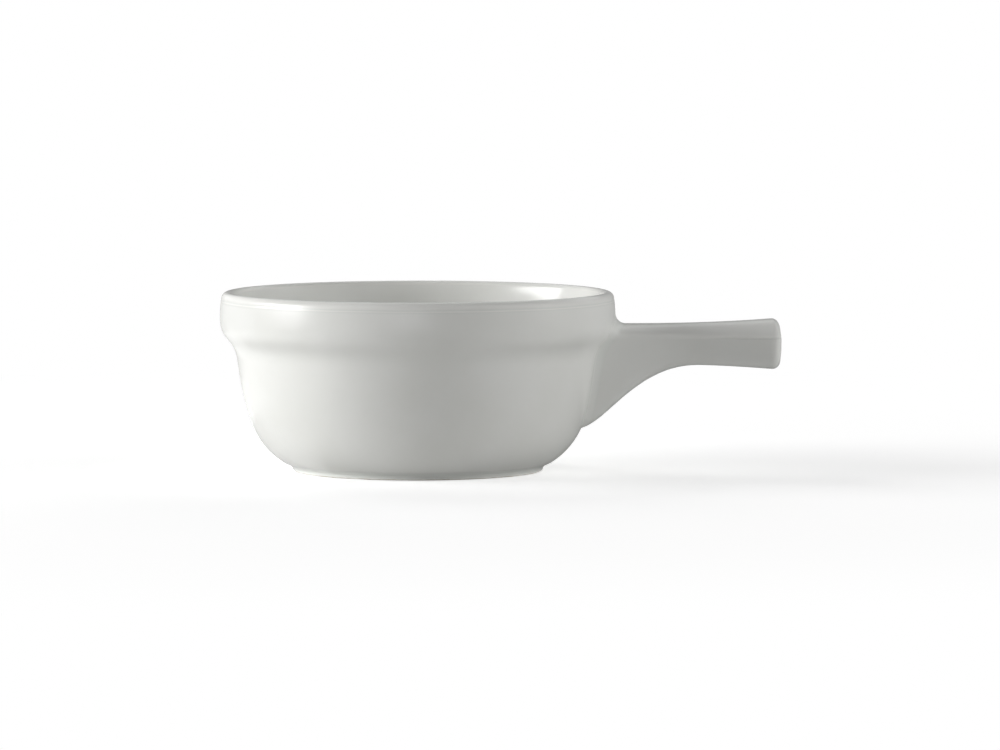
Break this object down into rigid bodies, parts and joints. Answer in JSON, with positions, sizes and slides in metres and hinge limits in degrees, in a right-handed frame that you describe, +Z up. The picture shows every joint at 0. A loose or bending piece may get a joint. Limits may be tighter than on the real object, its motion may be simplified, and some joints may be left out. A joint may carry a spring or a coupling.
{
  "type": "casserole dish",
  "caption": "Round white-glazed stoneware casserole dish with a collared rim, a low foot ring and a stubby stick handle luted to its wall, for baking and serving soup or gratin.",
  "frame": {"origin": "centre of the foot ring, on the plane that the dish stands on and on the bowl's axis", "axes": "+Z up along the bowl's axis, +X from that axis out along the handle, XZ is the mirror plane"},
  "size_m": [0.1802, 0.127, 0.0575],
  "materials": {
    "white_glaze": "glossy, slightly warm white glaze",
    "fired_slip": "fired clay slip under the same white glaze"
  },
  "bodies": {
    "root": {"bowl": "white_glaze", "handle": "white_glaze", "luting_slip": "fired_slip"}
  },
  "joints": []
}
